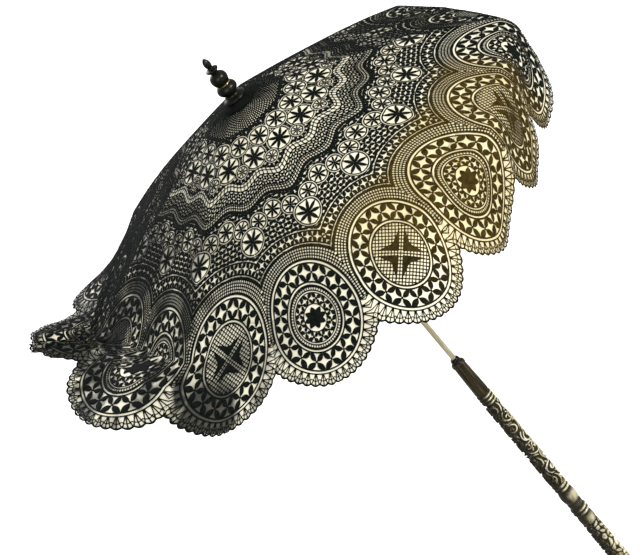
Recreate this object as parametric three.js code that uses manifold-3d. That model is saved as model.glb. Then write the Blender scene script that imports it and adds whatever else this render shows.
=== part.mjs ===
// A lady's lace parasol, open: turned finial, eight-rib folding frame with runner and spring
// catches, lace cover with a scalloped flounce, brass rod and carved handle.
// Millimetres. +Z runs up the rod to the finial, and the origin is the middle of the hand grip.

import * as THREE from 'three';
import { mergeVertices } from 'three/addons/utils/BufferGeometryUtils.js';
import Module from 'manifold-3d';

const wasm = await Module();
wasm.setup();

// ---- driving dimensions -------------------------------------------------------------------
const APEX_Z = 500; // the canopy's apex above the grip's middle
const RIB_COUNT = 8;
const RIB_REACH = 222; // radius of the rim, over the rib tips
const CROWN_SLOPE = 0.28; // fall of the cover per mm at the apex
const SLOPE_GAIN = 0.14; // extra fall per mm by the rim, a parabola
const GORE_FLATTENING = 0.8; // 0 is a round rim, 1 has straight chords from tip to tip
const FLOUNCE_VALLEY = 43.8; // free cloth below the rim, at a valley between scallops
const FLOUNCE_TIP = 75; // the same, at a scallop's tip
const CLOTH = 1.6; // cover and lining together
const CLOTH_GAP = 0.3;

const RIB_THICK = 1.4;
const RIB_HEIGHT = 1.8;
const RIB_DEPTH = 4.4; // the ribs' centreline below the cover
const RIB_END = 217; // radius at which a rib stops, under the cloth
const PIVOT_RADIUS = 6; // of the ribs' ring of eyes, and of the stretchers'
const JOINT_REACH = 104; // radius of the rib and stretcher joint
const SLOT_WIDTH = 2; // for a 1.4 mm rib end or stretcher tongue

const ROD_RADIUS = 2.5;
const ROD_BORE = 1.7;
const SLIDING_BORE = 2.8;
const CATCH_AZIMUTH = 22.5; // degrees from +X, between two ribs

// stations down the rod, as depths below the apex
const SOCKET_TOP = 335;
const COLLAR_TOP = 340.3;
const COLLAR_END = 382.6;
const SCROLL_TOP = 396;
const SCROLL_END = 511.7;
const BULGE_TOP = 521.9;
const BULGE_END = 546;
const LEAF_TOP = 569.7;
const LEAF_END = 640;
const POMMEL_END = 655;
const SEAM_GAP = 0.3;

const GRIP_RADIUS = 7.2;
const BUTT_RADIUS = 8.8;

const GORE = (2 * Math.PI) / RIB_COUNT;
const LATHE_SIDES = 18;
const HUB_SIDES = 24;

// ---- helpers ------------------------------------------------------------------------------
const degrees = THREE.MathUtils.degToRad;

/** Position-only geometry with shared vertices and its faces pointing out. */
function closed(geometry) {
  const bare = geometry.clone();
  bare.deleteAttribute('normal');
  bare.deleteAttribute('uv');
  const merged = mergeVertices(bare, 1e-4);
  const index = Array.from(merged.index.array);
  const kept = [];
  for (let i = 0; i < index.length; i += 3) {
    const [a, b, c] = index.slice(i, i + 3);
    if (a !== b && b !== c && c !== a) kept.push(a, b, c);
  }
  if (signedVolume(merged.attributes.position, kept) < 0) kept.reverse();
  merged.setIndex(kept);
  return merged;
}

function signedVolume(position, index) {
  const [a, b, c] = [new THREE.Vector3(), new THREE.Vector3(), new THREE.Vector3()];
  let sum = 0;
  for (let i = 0; i < index.length; i += 3) {
    a.fromBufferAttribute(position, index[i]);
    b.fromBufferAttribute(position, index[i + 1]);
    c.fromBufferAttribute(position, index[i + 2]);
    sum += a.dot(b.cross(c)) / 6;
  }
  return sum;
}

function toSolid(geometry) {
  const shape = closed(geometry);
  const mesh = new wasm.Mesh({
    numProp: 3,
    vertProperties: new Float32Array(shape.attributes.position.array),
    triVerts: new Uint32Array(shape.index.array),
  });
  return new wasm.Manifold(mesh);
}

function toGeometry(solid) {
  const mesh = solid.getMesh();
  const geometry = new THREE.BufferGeometry();
  geometry.setAttribute('position', new THREE.BufferAttribute(new Float32Array(mesh.vertProperties), 3));
  geometry.setIndex(Array.from(mesh.triVerts));
  return closed(geometry);
}

/** Turns a profile of [radius, height] points about Z. It closes on the axis or on itself. */
function turned(profile, sides = LATHE_SIDES) {
  const points = profile.map(([radius, height]) => new THREE.Vector2(radius, height));
  return closed(new THREE.LatheGeometry(points, sides).rotateX(Math.PI / 2));
}

/** A turned piece given by depths below the apex, from its top down, closed on the axis. */
function turnedDown(outline) {
  const top = outline[0][0];
  const end = outline[outline.length - 1][0];
  const points = outline.map(([depth, radius]) => [radius, APEX_Z - depth]);
  return turned([[0, APEX_Z - top], ...points, [0, APEX_Z - end]]);
}

/** A turned piece with a straight bore right through it. */
function boredDown(outline, bore) {
  const points = outline.map(([depth, radius]) => [radius, APEX_Z - depth]);
  const top = [bore, APEX_Z - outline[0][0]];
  const end = [bore, APEX_Z - outline[outline.length - 1][0]];
  return turned([top, ...points, end, top]);
}

/** A box given by its lowest and highest corners. */
function block(low, high) {
  const size = high.map((value, i) => value - low[i]);
  const middle = high.map((value, i) => (value + low[i]) / 2);
  return new THREE.BoxGeometry(...size).translate(...middle);
}

// ---- materials ----------------------------------------------------------------------------
const finish = (color, roughness, metalness = 0) => ({ color, roughness, metalness });
const FINISHES = {
  lace: finish(0x15191a, 0.8),
  jet: finish(0x1b1a12, 0.3),
  bone: finish(0xe6dcc4, 0.45),
  walnut: finish(0x3a2b1c, 0.55),
  brass: finish(0xc9b27c, 0.32, 1),
  steel: finish(0x4a4744, 0.42, 1),
};

const parasol = new THREE.Group();

function add(name, geometry, kind, azimuth = 0) {
  const mesh = new THREE.Mesh(geometry, new THREE.MeshStandardMaterial(FINISHES[kind]));
  mesh.name = name;
  mesh.rotation.z = azimuth;
  parasol.add(mesh);
}

// ---- cover and flounce --------------------------------------------------------------------
// Azimuths are turned from -Y towards +X, and rib 1 stands at azimuth 0. The flounce hangs a
// little past plumb over most of the rim and flares out on one side, it sways round the rim,
// and beside one rib's tip it is gathered into a tuft that stands up.
const HANG_MOST = degrees(95); // below level
const HANG_FLARE = degrees(75); // how much less it is on the side that flares out
const HANG_SIDE = degrees(-95.5); // where that is
const HANG_POWER = 3.28; // how soon the flounce hangs steeper, away from there
const HANG_SKEW = 2.95; // and how much later it does so on one hand than on the other
const SWAY_SWING = degrees(4); // round the rim, at a scallop's tip
const SWAY_MEAN = degrees(-4);
const SWAY_SIDE = degrees(-15);
const TUFT_AZIMUTH = degrees(-85);
const TUFT_CORE = degrees(5); // the cloth that is wholly in the tuft, to each side
const TUFT_EDGE = degrees(48); // and where its pull ends
const TUFT_LIFT = degrees(45);
const TUFT_PINCH = 0.84;
const TUFT_NECK = 20; // length below the rim by which the cloth is drawn together
const COVER_START = 12; // radius of the hole for the crown
const SEAM_AT_RIB = 0.9; // where the flounce is sewn on, as a share of the way to the rim
const SEAM_AT_GORE = 0.994;

const fallAt = (radius) => CROWN_SLOPE * radius + (SLOPE_GAIN * radius * radius) / RIB_REACH;

/** How far in the cover's rings are drawn between two ribs. */
function goreScale(azimuth) {
  const fromRib = azimuth - GORE * Math.floor(azimuth / GORE);
  const chord = Math.cos(GORE / 2) / Math.cos(fromRib - GORE / 2);
  return 1 - GORE_FLATTENING * (1 - chord);
}

function polar(radius, azimuth, z) {
  return new THREE.Vector3(radius * Math.sin(azimuth), -radius * Math.cos(azimuth), z);
}

/** The cover at a share of the way from apex to rim. */
function coverPoint(azimuth, share) {
  const ring = RIB_REACH * share;
  return polar(ring * goreScale(azimuth), azimuth, APEX_Z - fallAt(ring));
}

/** An azimuth's turn from the tuft's, from -PI to PI. */
const fromTuft = (azimuth) =>
  THREE.MathUtils.euclideanModulo(azimuth - TUFT_AZIMUTH + Math.PI, 2 * Math.PI) - Math.PI;

/** How much the cloth at an azimuth belongs to the tuft, from 0 to 1. */
const tuftShare = (azimuth) =>
  1 - THREE.MathUtils.smoothstep(Math.abs(fromTuft(azimuth)), TUFT_CORE, TUFT_EDGE);

/** The angle of the flounce below level. */
function hangAngle(azimuth) {
  const away = azimuth - HANG_SIDE;
  const power = HANG_POWER - HANG_SKEW * Math.sin(away);
  const flare = THREE.MathUtils.smoothstep(((1 + Math.cos(away)) / 2) ** power, 0, 1);
  return HANG_MOST - HANG_FLARE * flare - TUFT_LIFT * tuftShare(azimuth);
}

/** The flounce at a length below the rim. */
function flouncePoint(azimuth, length) {
  const hang = hangAngle(azimuth);
  const down = length / FLOUNCE_TIP;
  const sway = SWAY_SWING * Math.cos(2 * (azimuth - SWAY_SIDE)) + SWAY_MEAN;
  const pinch = TUFT_PINCH * tuftShare(azimuth) * Math.min(1, length / TUFT_NECK);
  const radius = RIB_REACH * goreScale(azimuth) + length * Math.cos(hang);
  const z = APEX_Z - fallAt(RIB_REACH) - length * Math.sin(hang);
  return polar(radius, azimuth + sway * down - fromTuft(azimuth) * pinch, z);
}

const clothPoint = (azimuth, way) =>
  way <= 1 ? coverPoint(azimuth, way) : flouncePoint(azimuth, (way - 1) * RIB_REACH);

/** A closed solid of cloth over a gore centred on a rib; across runs from -1 to 1. */
function clothSolid(azimuth, columns, ways) {
  const outer = [];
  const inner = [];
  const place = (across, way) => {
    const radius = RIB_REACH * Math.min(way, 1);
    return clothPoint(azimuth + across * (GORE / 2 - CLOTH_GAP / radius), way);
  };
  for (let i = 0; i <= columns; i++) {
    const across = (2 * i) / columns - 1;
    for (const way of ways(across)) {
      const here = place(across, way);
      const along = place(across, way + 0.004).sub(place(across, way - 0.004));
      const aside = place(across + 0.02, way).sub(place(across - 0.02, way));
      const inward = aside.cross(along).normalize();
      outer.push(here);
      inner.push(here.clone().addScaledVector(inward, CLOTH));
    }
  }
  return shell(outer, inner, columns + 1, ways(0).length);
}

/** Joins two grids of points, columns by rows, into one closed skin. */
function shell(outer, inner, columns, rows) {
  const index = [];
  const count = columns * rows;
  const quad = (a, b, c, d) => index.push(a, b, c, a, c, d);
  const at = (i, j, side) => side * count + i * rows + j;
  for (let i = 0; i + 1 < columns; i++) {
    for (let j = 0; j + 1 < rows; j++) {
      quad(at(i, j, 0), at(i, j + 1, 0), at(i + 1, j + 1, 0), at(i + 1, j, 0));
      quad(at(i, j, 1), at(i + 1, j, 1), at(i + 1, j + 1, 1), at(i, j + 1, 1));
    }
    quad(at(i, 0, 0), at(i + 1, 0, 0), at(i + 1, 0, 1), at(i, 0, 1));
    quad(at(i, rows - 1, 0), at(i, rows - 1, 1), at(i + 1, rows - 1, 1), at(i + 1, rows - 1, 0));
  }
  for (let j = 0; j + 1 < rows; j++) {
    quad(at(0, j, 0), at(0, j, 1), at(0, j + 1, 1), at(0, j + 1, 0));
    quad(at(columns - 1, j, 0), at(columns - 1, j + 1, 0), at(columns - 1, j + 1, 1), at(columns - 1, j, 1));
  }
  const geometry = new THREE.BufferGeometry();
  const flat = [...outer, ...inner].flatMap((point) => [point.x, point.y, point.z]);
  geometry.setAttribute('position', new THREE.Float32BufferAttribute(flat, 3));
  geometry.setIndex(index);
  return closed(geometry);
}

const seamAt = (across) => SEAM_AT_RIB + (SEAM_AT_GORE - SEAM_AT_RIB) * across * across;

/** Free length of the flounce, two scallops to a gore. */
function hemAt(across) {
  const scallop = Math.abs(Math.sin(Math.PI * across));
  return FLOUNCE_VALLEY + (FLOUNCE_TIP - FLOUNCE_VALLEY) * scallop ** 0.8;
}

function buildCloth() {
  const start = COVER_START / RIB_REACH;
  const gap = CLOTH_GAP / RIB_REACH;
  const coverWays = (across) =>
    [0, 0.22, 0.44, 0.64, 0.83, 1].map((t) => start + t * (seamAt(across) - gap - start));
  const flounceWays = (across) => {
    const seam = seamAt(across) + gap;
    const drop = hemAt(across) / RIB_REACH;
    return [seam, Math.max(1.003, seam + 0.003), 1 + drop / 2, 1 + drop];
  };
  for (let i = 0; i < RIB_COUNT; i++) {
    add(`cover_panel_${i + 1}`, clothSolid(i * GORE, 6, coverWays), 'lace');
    add(`flounce_${i + 1}`, clothSolid(i * GORE, 8, flounceWays), 'lace');
  }
}

// ---- ribs and stretchers ------------------------------------------------------------------
// Each is a flat strip in a rib's own upright plane, drawn as [radius, height] and given its
// thickness across. A strip in the XY plane is stood up and turned to face -Y.
const ribHeight = (radius) => APEX_Z - RIB_DEPTH - fallAt(radius);
const CROWN_PIVOT = [PIVOT_RADIUS, ribHeight(PIVOT_RADIUS)];
const RIB_JOINT = [JOINT_REACH, ribHeight(JOINT_REACH)];
// The stretcher is as long as the rib from its eye to the joint, so the two make an
// isosceles triangle and the runner's pivots stand plumb under the crown's.
const RUNNER_PIVOT = [PIVOT_RADIUS, 2 * RIB_JOINT[1] - CROWN_PIVOT[1]];
const EYE_RADIUS = 1.5;
const EYE_HOLE = 0.65;
const BOSS_RADIUS = 1.9;
const RIVET_HOLE = 0.8;
const RIVET_RADIUS = 0.5;
const FORK_WIDTH = 4;
const FORK_LENGTH = 14;
const FORK_SLOT = 11;
const FORK_HEIGHT = 2.4;
const FORK_BOSS_RADIUS = 1.7;
const TIP_RADIUS = 1.3; // of the round end of a rib
const RIVET_HEAD = 0.7;
const RIVET_HEAD_RADIUS = 1.1;
const CUT_MARGIN = 1; // how far a cutting tool runs past what it cuts

/** Stands an XY drawing up in the upright plane that faces azimuth 0. */
const standUp = (geometry) => geometry.rotateX(Math.PI / 2).rotateZ(-Math.PI / 2);

function strip(shape, thickness) {
  const options = { depth: thickness, bevelEnabled: false, curveSegments: 4 };
  return new THREE.ExtrudeGeometry(shape, options).translate(0, 0, -thickness / 2);
}

function disc(centre, radius, sides) {
  const shape = new THREE.Shape();
  for (let i = 0; i < sides; i++) {
    const angle = ((i + 0.5) * 2 * Math.PI) / sides;
    const point = [centre[0] + radius * Math.cos(angle), centre[1] + radius * Math.sin(angle)];
    if (i === 0) shape.moveTo(...point);
    else shape.lineTo(...point);
  }
  return shape;
}

/** A band of constant height along a line of [x, y] points. */
function band(line, height) {
  const upper = [];
  const lower = [];
  line.forEach((point, i) => {
    const before = line[Math.max(0, i - 1)];
    const after = line[Math.min(line.length - 1, i + 1)];
    const run = new THREE.Vector2(after[0] - before[0], after[1] - before[1]).normalize();
    upper.push([point[0] - (run.y * height) / 2, point[1] + (run.x * height) / 2]);
    lower.push([point[0] + (run.y * height) / 2, point[1] - (run.x * height) / 2]);
  });
  return new THREE.Shape([...upper, ...lower.reverse()].map(([x, y]) => new THREE.Vector2(x, y)));
}

function ribGeometry() {
  const steps = 9;
  const line = [];
  for (let i = 0; i <= steps; i++) {
    const radius = PIVOT_RADIUS + ((RIB_END - PIVOT_RADIUS) * i) / steps;
    line.push([radius, ribHeight(radius)]);
  }
  const tip = line[steps];
  let rib = toSolid(strip(band(line, RIB_HEIGHT), RIB_THICK));
  rib = rib.add(toSolid(strip(disc(CROWN_PIVOT, EYE_RADIUS, 10), RIB_THICK)));
  rib = rib.add(toSolid(strip(disc(RIB_JOINT, BOSS_RADIUS, 10), RIB_THICK)));
  rib = rib.add(toSolid(strip(disc(tip, TIP_RADIUS, 8), RIB_THICK)));
  rib = rib.subtract(toSolid(strip(disc(CROWN_PIVOT, EYE_HOLE, 8), FORK_WIDTH)));
  rib = rib.subtract(toSolid(strip(disc(RIB_JOINT, RIVET_HOLE, 8), FORK_WIDTH)));
  return closed(standUp(toGeometry(rib)));
}

function stretcherGeometry() {
  const run = [RUNNER_PIVOT[0] - RIB_JOINT[0], RUNNER_PIVOT[1] - RIB_JOINT[1]];
  const length = Math.hypot(...run);
  const at = (distance) => [
    RIB_JOINT[0] + (run[0] * distance) / length,
    RIB_JOINT[1] + (run[1] * distance) / length,
  ];
  const slot = band([at(-FORK_WIDTH), at(FORK_SLOT)], 3 * FORK_HEIGHT);
  let stretcher = toSolid(strip(band([at(0), at(FORK_LENGTH)], FORK_HEIGHT), FORK_WIDTH));
  stretcher = stretcher.add(toSolid(strip(disc(RIB_JOINT, FORK_BOSS_RADIUS, 10), FORK_WIDTH)));
  stretcher = stretcher.subtract(toSolid(strip(slot, SLOT_WIDTH)));
  const blade = band([at(FORK_SLOT + CUT_MARGIN), at(length)], RIB_HEIGHT);
  stretcher = stretcher.add(toSolid(strip(blade, RIB_THICK)));
  stretcher = stretcher.add(toSolid(strip(disc(RUNNER_PIVOT, EYE_RADIUS, 10), RIB_THICK)));
  stretcher = stretcher.subtract(toSolid(strip(disc(RIB_JOINT, RIVET_HOLE, 8), 2 * FORK_WIDTH)));
  return closed(standUp(toGeometry(stretcher)));
}

/** The rivet through fork and rib, with a head outside each cheek. */
function rivetGeometry() {
  const inside = FORK_WIDTH / 2 + SEAM_GAP;
  const outside = inside + RIVET_HEAD;
  const half = [[0, outside], [0.9, outside - 0.2], [RIVET_HEAD_RADIUS, inside], [RIVET_RADIUS, inside]];
  const mirrored = half.map(([radius, height]) => [radius, -height]).reverse();
  const rivet = turned([...half, ...mirrored], 8).rotateY(Math.PI / 2);
  return rivet.translate(0, -RIB_JOINT[0], RIB_JOINT[1]);
}

function buildRibs() {
  for (let i = 0; i < RIB_COUNT; i++) {
    add(`rib_${i + 1}`, ribGeometry(), 'steel', i * GORE);
    add(`stretcher_${i + 1}`, stretcherGeometry(), 'steel', i * GORE);
    add(`rivet_${i + 1}`, rivetGeometry(), 'brass', i * GORE);
  }
}

// ---- crown, runner and catches ------------------------------------------------------------
const HUB_RADIUS = 4.2;
const NOTCHED_RADIUS = 7.6;
const CATCH_THICK = 1;
const CATCH_SLOT = 1.6;
const CATCH_NOSE = 4;
const CATCH_LENGTH = 10;
const RUNNER_DEPTH = APEX_Z - RUNNER_PIVOT[1];
const FLANGE_HALF = 1.6;
const SLEEVE_ABOVE = 5;
const SLEEVE_BELOW = 23;
const TOOTH_HALF = 2.4; // half the flange tooth that the catches pass
const CROWN_ABOVE = 2.8; // the crown's height over its wire, and below it
const CROWN_BELOW = 4.1;
const GROOVE_HALF = 0.75;
const CHAMFER = 0.8;
const WIRE_RADIUS = 0.3;
const LIP = 1.1; // round the runner's lower end
const ROD_TOP = 9; // above the apex, inside the finial's foot
const ROD_END = 380; // below the apex, inside the collar
const WINDOW_GAP = 0.7; // round a catch in its window in the rod

/** Open radial slots, one to a rib, that the ribs' or stretchers' ends stand in. */
function cutSlots(solid, low, high) {
  let cut = solid;
  for (let i = 0; i < RIB_COUNT; i++) {
    const outside = -NOTCHED_RADIUS - CUT_MARGIN;
    const slot = block([-SLOT_WIDTH / 2, outside, low], [SLOT_WIDTH / 2, -HUB_RADIUS, high]);
    cut = cut.subtract(toSolid(slot.rotateZ(i * GORE)));
  }
  return cut;
}

function crownGeometry() {
  const wire = CROWN_PIVOT[1];
  const top = wire + CROWN_ABOVE;
  const end = wire - CROWN_BELOW;
  const [above, below] = [wire + GROOVE_HALF, wire - GROOVE_HALF];
  const inner = PIVOT_RADIUS - CHAMFER;
  const profile = [
    [SLIDING_BORE, top], [NOTCHED_RADIUS - CHAMFER, top], [NOTCHED_RADIUS, top - CHAMFER],
    [NOTCHED_RADIUS, above], [inner, above], [inner, below], [NOTCHED_RADIUS, below],
    [NOTCHED_RADIUS, end + CHAMFER], [NOTCHED_RADIUS - CHAMFER, end], [SLIDING_BORE, end],
    [SLIDING_BORE, top],
  ];
  return toGeometry(cutSlots(toSolid(turned(profile, HUB_SIDES)), end - CUT_MARGIN, top + CUT_MARGIN));
}

/** The wire through the ribs' eyes, lying in the crown's groove. */
function crownWire() {
  return closed(new THREE.TorusGeometry(PIVOT_RADIUS, WIRE_RADIUS, 6, 32).translate(0, 0, CROWN_PIVOT[1]));
}

function runnerGeometry() {
  const middle = RUNNER_PIVOT[1];
  const outer = HUB_RADIUS - 0.1;
  const profile = [
    [SLIDING_BORE, middle + SLEEVE_ABOVE], [outer, middle + SLEEVE_ABOVE], [outer, middle + FLANGE_HALF],
    [NOTCHED_RADIUS, middle + FLANGE_HALF], [NOTCHED_RADIUS, middle - FLANGE_HALF],
    [outer, middle - FLANGE_HALF], [outer, middle - SLEEVE_BELOW + 3],
    [outer + LIP, middle - SLEEVE_BELOW + 2], [outer + LIP, middle - SLEEVE_BELOW],
    [SLIDING_BORE, middle - SLEEVE_BELOW], [SLIDING_BORE, middle + SLEEVE_ABOVE],
  ];
  const low = middle - FLANGE_HALF - CUT_MARGIN;
  const slotted = cutSlots(toSolid(turned(profile, HUB_SIDES)), low, middle + FLANGE_HALF + CUT_MARGIN);
  const bottom = middle - 2 * SLEEVE_BELOW;
  const top = middle + 2 * SLEEVE_ABOVE;
  const split = block([0, -SLOT_WIDTH / 2, bottom], [2 * NOTCHED_RADIUS, SLOT_WIDTH / 2, top]);
  const tooth = block([outer, -TOOTH_HALF, low], [2 * NOTCHED_RADIUS, TOOTH_HALF, top]);
  const cuts = [split, tooth].map((cut) => toSolid(cut.rotateZ(degrees(CATCH_AZIMUTH))));
  return toGeometry(slotted.subtract(cuts[0]).subtract(cuts[1]));
}

/** A flat spring catch inside the rod; its square shoulder is at one end of the wedge. */
function catchGeometry(shoulderDepth, lengthDown) {
  const shoulder = APEX_Z - shoulderDepth;
  const tail = shoulder - lengthDown;
  const outline = [[0.4, shoulder], [CATCH_NOSE, shoulder], [CATCH_NOSE, shoulder - lengthDown * 0.15],
    [2.2, tail], [0.4, tail]];
  const shape = new THREE.Shape(outline.map(([x, y]) => new THREE.Vector2(x, y)));
  return closed(strip(shape, CATCH_THICK).rotateX(Math.PI / 2).rotateZ(degrees(CATCH_AZIMUTH)));
}

const TOP_SHOULDER = RUNNER_DEPTH + SLEEVE_BELOW + 0.5;
const FOLD = degrees(58);
const OPEN_ANGLE = Math.atan2(JOINT_REACH - PIVOT_RADIUS, CROWN_PIVOT[1] - RIB_JOINT[1]);
const STRETCHER = Math.hypot(JOINT_REACH - PIVOT_RADIUS, CROWN_PIVOT[1] - RIB_JOINT[1]);
const RUNNER_TRAVEL = 2 * STRETCHER * (Math.cos(OPEN_ANGLE - FOLD) - Math.cos(OPEN_ANGLE));
const BOTTOM_SHOULDER = RUNNER_DEPTH + RUNNER_TRAVEL - SLEEVE_ABOVE - 0.5;

function rodGeometry() {
  const top = APEX_Z + ROD_TOP;
  const end = APEX_Z - ROD_END;
  const profile = [[ROD_BORE, top], [ROD_RADIUS, top], [ROD_RADIUS, end], [ROD_BORE, end], [ROD_BORE, top]];
  let rod = toSolid(turned(profile, 20));
  const windows = [
    [TOP_SHOULDER - WINDOW_GAP, TOP_SHOULDER + CATCH_LENGTH + WINDOW_GAP],
    [BOTTOM_SHOULDER - CATCH_LENGTH - WINDOW_GAP, BOTTOM_SHOULDER + WINDOW_GAP],
  ];
  for (const [upper, lower] of windows) {
    const opening = block([0.2, -CATCH_SLOT / 2, APEX_Z - lower], [4, CATCH_SLOT / 2, APEX_Z - upper]);
    rod = rod.subtract(toSolid(opening.rotateZ(degrees(CATCH_AZIMUTH))));
  }
  return toGeometry(rod);
}

function buildMechanism() {
  add('crown', crownGeometry(), 'brass');
  add('crown_wire', crownWire(), 'steel');
  add('runner', runnerGeometry(), 'brass');
  add('rod', rodGeometry(), 'brass');
  add('top_catch', catchGeometry(TOP_SHOULDER, CATCH_LENGTH), 'steel');
  add('bottom_catch', catchGeometry(BOTTOM_SHOULDER, -CATCH_LENGTH), 'steel');
}

// ---- finial -------------------------------------------------------------------------------
/** The stiff rosette of gathered cloth that covers the crown, with the rod through it. */
function crownCap() {
  const under = (radius) => APEX_Z - CROWN_SLOPE * radius + 0.5;
  return turned([
    [SLIDING_BORE, under(SLIDING_BORE)], [15, under(15)], [15, under(15) + 0.7], [12, APEX_Z - 0.9],
    [7, APEX_Z + 0.8], [SLIDING_BORE, APEX_Z + 1.2], [SLIDING_BORE, under(SLIDING_BORE)],
  ]);
}

function buildFinial() {
  add('crown_cap', crownCap(), 'lace');
  const from = (outline) => outline.map(([height, radius]) => [radius, APEX_Z + height]);
  const foot = from([[1.5, SLIDING_BORE], [1.5, 10.4], [2.6, 10.4], [4.6, 7.6], [6.6, 6.4], [8.4, 7.9],
    [11.2, 9.1], [14, 8.9], [16.2, 7.4], [17.4, 6.2]]);
  add('finial_foot', turned([...foot, [0, APEX_Z + 17.4], [0, APEX_Z + 9.4], [SLIDING_BORE, APEX_Z + 9.4],
    foot[0]]), 'jet');
  const ball = from([[17.7, 6.2], [18.9, 6.3], [20.6, 7.3], [23.8, 7.9], [27, 7.2], [29.2, 5], [30.2, 3.4]]);
  add('finial_ball', turned([[0, APEX_Z + 17.7], ...ball, [0, APEX_Z + 30.2]]), 'jet');
  const acorn = from([[30.5, 3.3], [32, 4.2], [33.6, 5.6], [34.6, 5.4], [35.4, 2.2], [37.4, 2.6], [41, 3.1],
    [44.4, 2.4], [46.2, 0.9]]);
  add('finial_acorn', turned([[0, APEX_Z + 30.5], ...acorn, [0, APEX_Z + 46.4]]), 'jet');
}

// ---- handle -------------------------------------------------------------------------------
/** Rounded rings over a stretch, each as far apart as the next. */
function ringOutline(top, end, count, low, high) {
  const pitch = (end - top) / count;
  const outline = [[top, low]];
  for (let i = 0; i < count; i++) {
    outline.push([top + pitch * (i + 0.3), high], [top + pitch * (i + 0.7), high]);
    outline.push([top + pitch * (i + 1), low]);
  }
  return outline;
}

function buildHandle() {
  add('rod_socket', boredDown([[SOCKET_TOP, 3.6], [SOCKET_TOP + 1, 4.4], [SOCKET_TOP + 3.4, 4.8],
    [COLLAR_TOP - SEAM_GAP, 5.4]], SLIDING_BORE), 'jet');
  const collar = boredDown([[COLLAR_TOP, 5.6], [COLLAR_TOP + 1.4, 6.7], [COLLAR_TOP + 3.4, 6.7],
    [COLLAR_TOP + 4.6, 6.3], [COLLAR_END - 4, 6.9], [COLLAR_END - 1.2, 7.1], [COLLAR_END, 6.4]],
  SLIDING_BORE);
  add('wood_collar', collar, 'walnut');
  const upper = ringOutline(COLLAR_END + SEAM_GAP, SCROLL_TOP - SEAM_GAP, 3, 6.4, 7.2);
  add('upper_rings', turnedDown(upper), 'bone');
  add('scroll_grip', turnedDown([[SCROLL_TOP, 6.9], [SCROLL_TOP + 3, GRIP_RADIUS], [450, GRIP_RADIUS],
    [SCROLL_END - 3, GRIP_RADIUS], [SCROLL_END, 6.9]]), 'bone');
  const middle = ringOutline(SCROLL_END + SEAM_GAP, BULGE_TOP - SEAM_GAP, 2, 6.7, 7.6);
  add('middle_rings', turnedDown(middle), 'bone');
  add('smooth_bulge', turnedDown([[BULGE_TOP, 6.9], [BULGE_TOP + 4, 7.8], [BULGE_TOP + 9, 8.1],
    [BULGE_TOP + 14, 7.8], [BULGE_TOP + 17, 7.2], [BULGE_END, 7.2]]), 'bone');
  const ringsEnd = BULGE_END + 10;
  const lower = ringOutline(BULGE_END + SEAM_GAP, ringsEnd, 2, 7, 7.9);
  add('lower_rings', turnedDown([...lower, [ringsEnd + 5, 8.1], [LEAF_TOP - 2, 7.8],
    [LEAF_TOP - SEAM_GAP, 7.4]]), 'bone');
  add('leaf_grip', turnedDown([[LEAF_TOP, 7.5], [LEAF_TOP + 4, 7.8], [605, 8.3], [LEAF_END - 3, BUTT_RADIUS],
    [LEAF_END, 8.3]]), 'bone');
  add('pommel', turnedDown([[LEAF_END + SEAM_GAP, 8], [LEAF_END + 2, 9.2], [LEAF_END + 6, 9.6],
    [LEAF_END + 11, 8.6], [LEAF_END + 14, 6.6], [POMMEL_END, 5.6]]), 'bone');
}

buildCloth();
buildRibs();
buildMechanism();
buildFinial();
buildHandle();

export default parasol;
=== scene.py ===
"""A lady's lace parasol: black silk bobbin lace over cream silk on an eight-rib folding frame,
with a turned finial, a brass rod and a carved handle.

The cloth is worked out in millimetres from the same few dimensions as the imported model, and
turned into metres where a mesh is made. Azimuths are turned from -Y towards +X, with rib 1 at 0.
"""

import bpy
import numpy as np
from mathutils import Matrix, Vector


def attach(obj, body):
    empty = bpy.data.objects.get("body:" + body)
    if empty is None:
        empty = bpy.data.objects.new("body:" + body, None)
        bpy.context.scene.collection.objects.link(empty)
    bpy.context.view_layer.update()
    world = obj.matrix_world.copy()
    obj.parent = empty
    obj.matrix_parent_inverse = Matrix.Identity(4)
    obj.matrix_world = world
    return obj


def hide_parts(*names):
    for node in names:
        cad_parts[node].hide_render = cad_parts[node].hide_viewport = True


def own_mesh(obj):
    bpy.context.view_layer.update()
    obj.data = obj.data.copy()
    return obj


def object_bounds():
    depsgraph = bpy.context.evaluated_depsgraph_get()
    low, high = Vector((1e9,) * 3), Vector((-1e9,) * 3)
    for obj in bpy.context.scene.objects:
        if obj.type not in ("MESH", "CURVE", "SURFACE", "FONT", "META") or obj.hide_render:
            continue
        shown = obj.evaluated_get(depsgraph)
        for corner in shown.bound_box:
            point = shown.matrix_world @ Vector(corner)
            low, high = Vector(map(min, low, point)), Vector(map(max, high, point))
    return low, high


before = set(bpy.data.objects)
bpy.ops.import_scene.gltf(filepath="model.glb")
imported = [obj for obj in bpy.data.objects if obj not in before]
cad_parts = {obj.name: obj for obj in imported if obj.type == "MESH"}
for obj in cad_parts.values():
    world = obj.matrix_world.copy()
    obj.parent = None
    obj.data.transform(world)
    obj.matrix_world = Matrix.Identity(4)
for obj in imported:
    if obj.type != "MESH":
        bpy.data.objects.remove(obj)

CAD_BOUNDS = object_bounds()
MM = 0.001

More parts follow.
